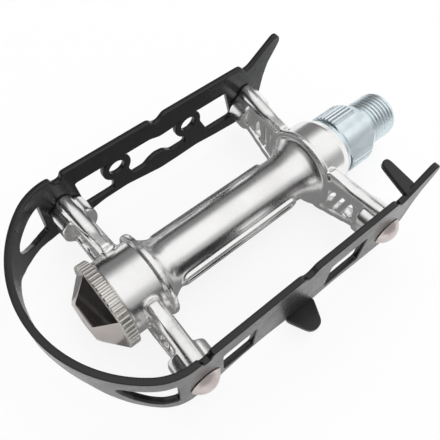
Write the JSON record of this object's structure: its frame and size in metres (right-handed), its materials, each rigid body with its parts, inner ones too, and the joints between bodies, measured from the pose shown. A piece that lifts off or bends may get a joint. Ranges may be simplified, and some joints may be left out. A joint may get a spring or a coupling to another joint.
{
  "type": "platform pedal",
  "caption": "Quill pedal with a looped black cage riveted to a polished aluminium body that turns on a plated spindle with a crank thread.",
  "frame": {"origin": "centre of the crank shoulder, where the crank thread starts, on the spindle's axis", "axes": "+X along the spindle and out of the crank thread, +Y to the plate with the toe clip holes (front), +Z to the side with the cage's straight top edge (up)"},
  "size_m": [0.1233, 0.0714, 0.0339],
  "materials": {
    "polished_aluminium": "polished",
    "satin_aluminium": "satin",
    "black_anodised": "gloss black",
    "rivet_steel": "satin",
    "zinc_plated_steel": "bright zinc plate",
    "bearing_steel": "ground"
  },
  "bodies": {
    "spindle": {"spindle": "zinc_plated_steel", "outer_cone": "bearing_steel", "lock_washer": "zinc_plated_steel", "lock_nut": "zinc_plated_steel"},
    "platform": {"pedal_body": "polished_aluminium", "cage": "black_anodised", "cage_rivet_outer_front": "rivet_steel", "cage_rivet_outer_rear": "rivet_steel", "cage_rivet_inner_front": "rivet_steel", "cage_rivet_inner_rear": "rivet_steel", "outer_cup": "bearing_steel", "inner_cup": "bearing_steel", "dust_cap": "satin_aluminium", "dust_seal": "zinc_plated_steel"},
    "outer_ball_set": {"outer_balls": "bearing_steel"},
    "inner_ball_set": {"inner_balls": "bearing_steel"}
  },
  "joints": [
    {"name": "platform_spin", "type": "hinge", "parent": "spindle", "child": "platform", "pos_m": [-0.0507, 0, 0], "axis": [1, 0, 0], "continuous": true},
    {"name": "outer_ball_spin", "type": "hinge", "parent": "spindle", "child": "outer_ball_set", "pos_m": [-0.0854, 0, 0], "axis": [1, 0, 0], "continuous": true},
    {"name": "inner_ball_spin", "type": "hinge", "parent": "spindle", "child": "inner_ball_set", "pos_m": [-0.0184, 0, 0], "axis": [1, 0, 0], "continuous": true}
  ],
  "couplings": [
    {"joint": "outer_ball_spin", "follows": "platform_spin", "ratio": 0.59},
    {"joint": "inner_ball_spin", "follows": "platform_spin", "ratio": 0.59}
  ]
}
